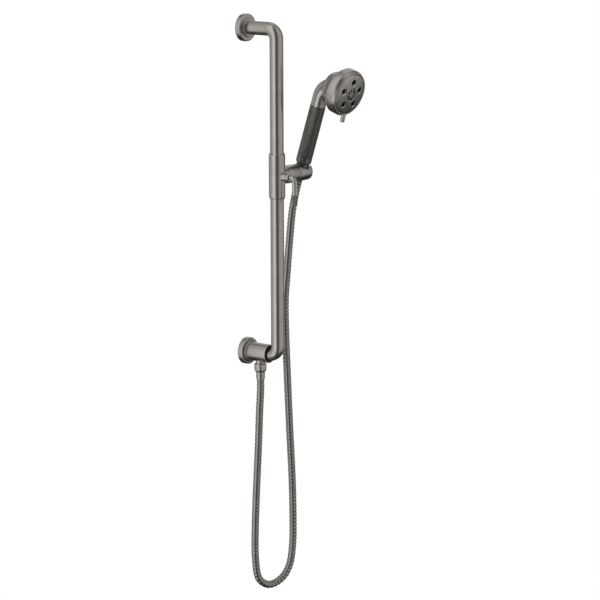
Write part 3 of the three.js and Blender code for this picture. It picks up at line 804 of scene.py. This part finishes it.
def cone_radius(height):
    return 9.9 + 0.08 * (height - CONE_BOTTOM)


def cone_tool(clearance, low, high):
    profile = [(0, low), (cone_radius(low) + clearance, low),
               (cone_radius(high) + clearance, high), (0, high)]
    return turned("tool", profile, CRADLE, None, 128)


def make_cradle(material, liner_material):
    axis_x = CRADLE_POINT.x / MM
    barrel = turned("cradle_barrel", [
        (0, 43.7 - axis_x), (11.7, 43.7 - axis_x), (11.7, 53.6 - axis_x), (16.9, 53.6 - axis_x, 0.7),
        (16.9, 88.6 - axis_x, 0.4), (0, 88.6 - axis_x)],
        CRADLE_BARREL, material, 160)
    slot = block((0, -8.5, -30), (30, 8.5, 30), CRADLE)
    bolt_hole = rod(3.4, 40 - axis_x, 0, CRADLE_BARREL, 48)
    head_hole = rod(5.7, 56.9 - axis_x, 0, CRADLE_BARREL, 48)
    carve(barrel, cone_tool(1.55, -22, 22), slot, bolt_hole, head_hole)
    stand_for(soften(barrel, 0.0003), "cradle", "brushed_nickel", "swivel_cradle")
    liner = turned("cradle_lining", [
        (cone_radius(-20) + 0.25, -20), (cone_radius(-20) + 1.35, -20),
        (cone_radius(20) + 1.35, 20), (cone_radius(20) + 0.25, 20)],
        CRADLE, liner_material, 128, closed=True)
    carve(liner, rod(16.1, -30, 30, CRADLE_BARREL, 128), how="INTERSECT")
    carve(liner, block((0, -8.1, -30), (30, 8.1, 30), CRADLE))
    stand_for(liner, "cradle", "nylon_grey", "cradle_liner")


def make_cone(material, brass):
    nut = turned("hose_cone", [
        (7.8, CONE_BOTTOM), (9.9, CONE_BOTTOM, 0.5), (12.4, 17.3, 0.5), (11.8, CONE_TOP, 0.3),
        (10.4, CONE_TOP), (10.4, 4.5), (7.8, 4.5)], CRADLE, material, 112, closed=True)
    stand_for(nut, "hose_cone", "knurled_steel", "hose_cone_nut")
    stem = turned("cone_tail", [
        (3.5, CONE_BOTTOM), (7.5, CONE_BOTTOM, 0.4), (7.5, 4.8), (10, 4.8), (10, 6.6), (3.5, 6.6)],
        CRADLE, brass, 64, closed=True)
    stand_for(stem, "hose_cone", "brass", "cone_stem")


# ---------------------------------------------------------------- handset
NECK_BEND = 29
NECK_RADIUS = 0.01425
NECK_CHAMFER = 0.00035
GRIP_TOP = 132.7
HEAD_HEIGHT = (HEAD_POINT - CRADLE_POINT).length / MM


def neck_path():
    """The neck's middle line: straight up out of the grip, then a quarter turn to the spray."""
    centre = (0, -NECK_BEND, HEAD_HEIGHT - NECK_BEND)
    bend = quarter(centre, (0, 1, 0), (0, 0, 1), NECK_BEND, 32)
    start = [Vector((0, 0, GRIP_TOP + 0.3)), Vector((0, 0, GRIP_TOP + 0.8))]
    return [HANDSET @ (point * MM) for point in start + bend]


def make_handle(material, smoke, knurl):
    tail = turned("handle_foot", [
        (5.5, 9.3), (10.1, 9.3, 0.3), (10.1, 18.6), (12.7, 18.6, 0.3), (14.64, 21.2, 0.4),
        (14.64, 31.5, 0.3), (12.1, 31.5), (12.1, 38), (5.5, 38)], HANDSET, smoke, 112, closed=True)
    stand_for(tail, "handset", "brushed_nickel", "handle_tail")
    grip = knurled("handle_grip", 14.64, 31.8, GRIP_TOP, 1.25, 0.09, 0.25, HANDSET, knurl)
    stand_for(grip, "handset", "knurled_steel", "grip_sleeve")

    def chamfered(distance):
        return NECK_RADIUS - (NECK_CHAMFER if distance < NECK_CHAMFER else 0)

    neck = swept("handle_neck", neck_path(), chamfered, material, 80)
    stand_for(neck, "handset", "brushed_nickel", "neck")


RIM_START = 57.9
RIM_RADIUS = 43.7


def make_shell(material):
    """The bell behind the spray face: a small collar on the neck that flares into the drum."""
    shell = turned("head_bell", [
        (0, 6.7), (9.4, 6.7, 1.5), (19.6, 14, 5), (25.2, 18.1, 3), (27.5, 21.0, 2), (29.0, 25, 3),
        (31.9, 30, 3), (36.8, 36.1, 4), (41.8, 41.6, 1.5), (RIM_RADIUS, 44.5, 1.2),
        (RIM_RADIUS, 57.6, 0.15), (41.5, 57.6), (41.5, 46.3), (34.4, 39.8), (0, 39.8)],
        HEAD, material, 160)
    carve(shell, swept("tool", neck_path(), 14.5 * MM, None, 64))
    stand_for(shell, "handset", "brushed_nickel", "head_shell")


def make_ring(material):
    ring = turned("selector_rim", [
        (38.4, RIM_START), (RIM_RADIUS, RIM_START, 0.15), (RIM_RADIUS, 59, 0.7), (40.8, 64.4, 0.5),
        (38.4, 64.5, 0.3)], HEAD, material, 160, closed=True)
    skirt = turned("tool", [
        (39.2, 51, 0.1), (41.1, 51, 0.1), (41.1, 59), (39.2, 59)], HEAD, material, 96, closed=True)
    tab = turned("tool", [
        (0, 39.6), (4.2, 39.6), (4.2, 54.9, 1.6), (0, 54.9)],
        HEAD @ move((0, 0, 62.9 * MM)) @ turn(90, "X"), material, 48)
    carve(ring, skirt, tab, how="UNION")
    stand_for(soften(ring, 0.00025), "selector", "brushed_nickel", "selector_ring")


FACE_RADIUS = 38.0
FACE_CROWN = 3.0
FACE_TOP = 68.4
OUTLETS = 5
OUTLET_CIRCLE = 23.2
JETS = 8
JET_CIRCLE = 8.2
JET_RADIUS = 2.4


def dome(radius):
    """How far the spray face stands out at a radius: a shallow dome."""
    return FACE_TOP - FACE_CROWN * (radius / FACE_RADIUS) ** 2


def around(count, circle, first):
    for index in range(count):
        angle = first + 2 * math.pi * index / count
        yield circle * math.cos(angle) * MM, circle * math.sin(angle) * MM


def make_face(material, rubber):
    rim = [(radius, dome(radius)) for radius in (37, 34, 31, 28, 25, 22, 19, 16, 14, 12.1)]
    face = turned("spray_plate", [
        (11.9, 61.5), (36, 61.5), (36, 56), (38, 56), (38, 64.6, 0.5), *rim, (11.9, 68.0)],
        HEAD, material, 128, closed=True)
    holes = []
    for x, y in around(OUTLETS, OUTLET_CIRCLE, math.pi / 2):
        holes.append(turned("tool", [
            (0, 50), (4.9, 50), (4.9, 65.4), (7.4, 68.6), (7.4, 80), (0, 80)],
            HEAD @ move((x, y, 0)), None, 48))
    carve(face, *holes)
    stand_for(soften(face, 0.0003), "handset", "brushed_nickel", "spray_face")
    for index, (x, y) in enumerate(around(OUTLETS, OUTLET_CIRCLE, math.pi / 2), 1):
        insert = turned(f"outlet_nozzle_{index}", [
            (2.9, 59), (4.6, 59, 0.2), (4.6, 64.8, 0.5), (3.4, 64.8, 0.5), (2.9, 61.5)],
            HEAD @ move((x, y, 0)), rubber, 48, closed=True)
        stand_for(insert, "handset", "nozzle_black", f"outlet_insert_{index}")


def make_pad(material, rubber):
    crown = [(radius, dome(radius) + 0.1) for radius in (11, 10, 8, 6, 4, 2)]
    pad = turned("nozzle_pad", [
        (0, 60.4), (11.6, 60.4), (11.6, 67.8, 0.3), *crown, (0, 68.5)], HEAD, material, 96)
    jets = [rod(JET_RADIUS + 0.05, 62, 80, HEAD @ move((x, y, 0)), 24)
            for x, y in around(JETS, JET_CIRCLE, math.pi / 8)]
    carve(pad, *jets)
    stand_for(soften(pad, 0.0001), "handset", "brushed_nickel", "centre_nozzle_pad")
    tip = dome(JET_CIRCLE) + 0.3
    for index, (x, y) in enumerate(around(JETS, JET_CIRCLE, math.pi / 8), 1):
        jet = turned(f"jet_nozzle_{index}", [
            (0.6, 62), (JET_RADIUS, 62), (JET_RADIUS, tip, 0.4), (0.6, tip, 0.2)],
            HEAD @ move((x, y, 0)), rubber, 24, closed=True)
        stand_for(jet, "handset", "nozzle_black", "centre_nozzle_pad")


# ---------------------------------------------------------------- CAD pieces that stay
KEPT = {
    "screw": ["upper_wall_bracket", "upper_set_screw", "bar_set_screw", "cradle_bolt", "wave_washer",
              "lock_screw", "detent_spring", "detent_ball"],
    "brass": ["inner_tube", "face_spindle"],
    "rubber": ["lower_wall_seal", "bar_o_ring", "supply_hose_washer", "cone_washer"],
    "nylon": ["supply_check_valve", "clamp_shoe", "friction_disc", "flow_regulator", "neck_bush",
              "diverter_disc"],
}


def finish_kept_nodes(materials):
    for name, nodes in KEPT.items():
        for node in nodes:
            slots = frame["nodes"][node].data.materials
            slots.clear()
            slots.append(materials[name])


make_camera()
materials = make_materials()
make_hose(materials["hose"])
make_light()
make_surround()
make_bar(materials["bar"])
make_upper_flange(materials["turned"])
make_supply(materials["turned"])
make_supply_nut(materials["turned"])
make_supply_ferrule(materials["turned"])
make_slider(materials["bar"], materials["bush"])
make_arm(materials["turned"])
make_lock(materials["turned"], materials["tip"])
make_cradle(materials["turned"], materials["nylon"])
make_cone(materials["smoke"], materials["brass"])
make_handle(materials["turned"], materials["smoke"], materials["knurl"])
make_shell(materials["head"])
make_ring(materials["head"])
make_face(materials["head"], materials["nozzle"])
make_pad(materials["head"], materials["nozzle"])
finish_kept_nodes(materials)
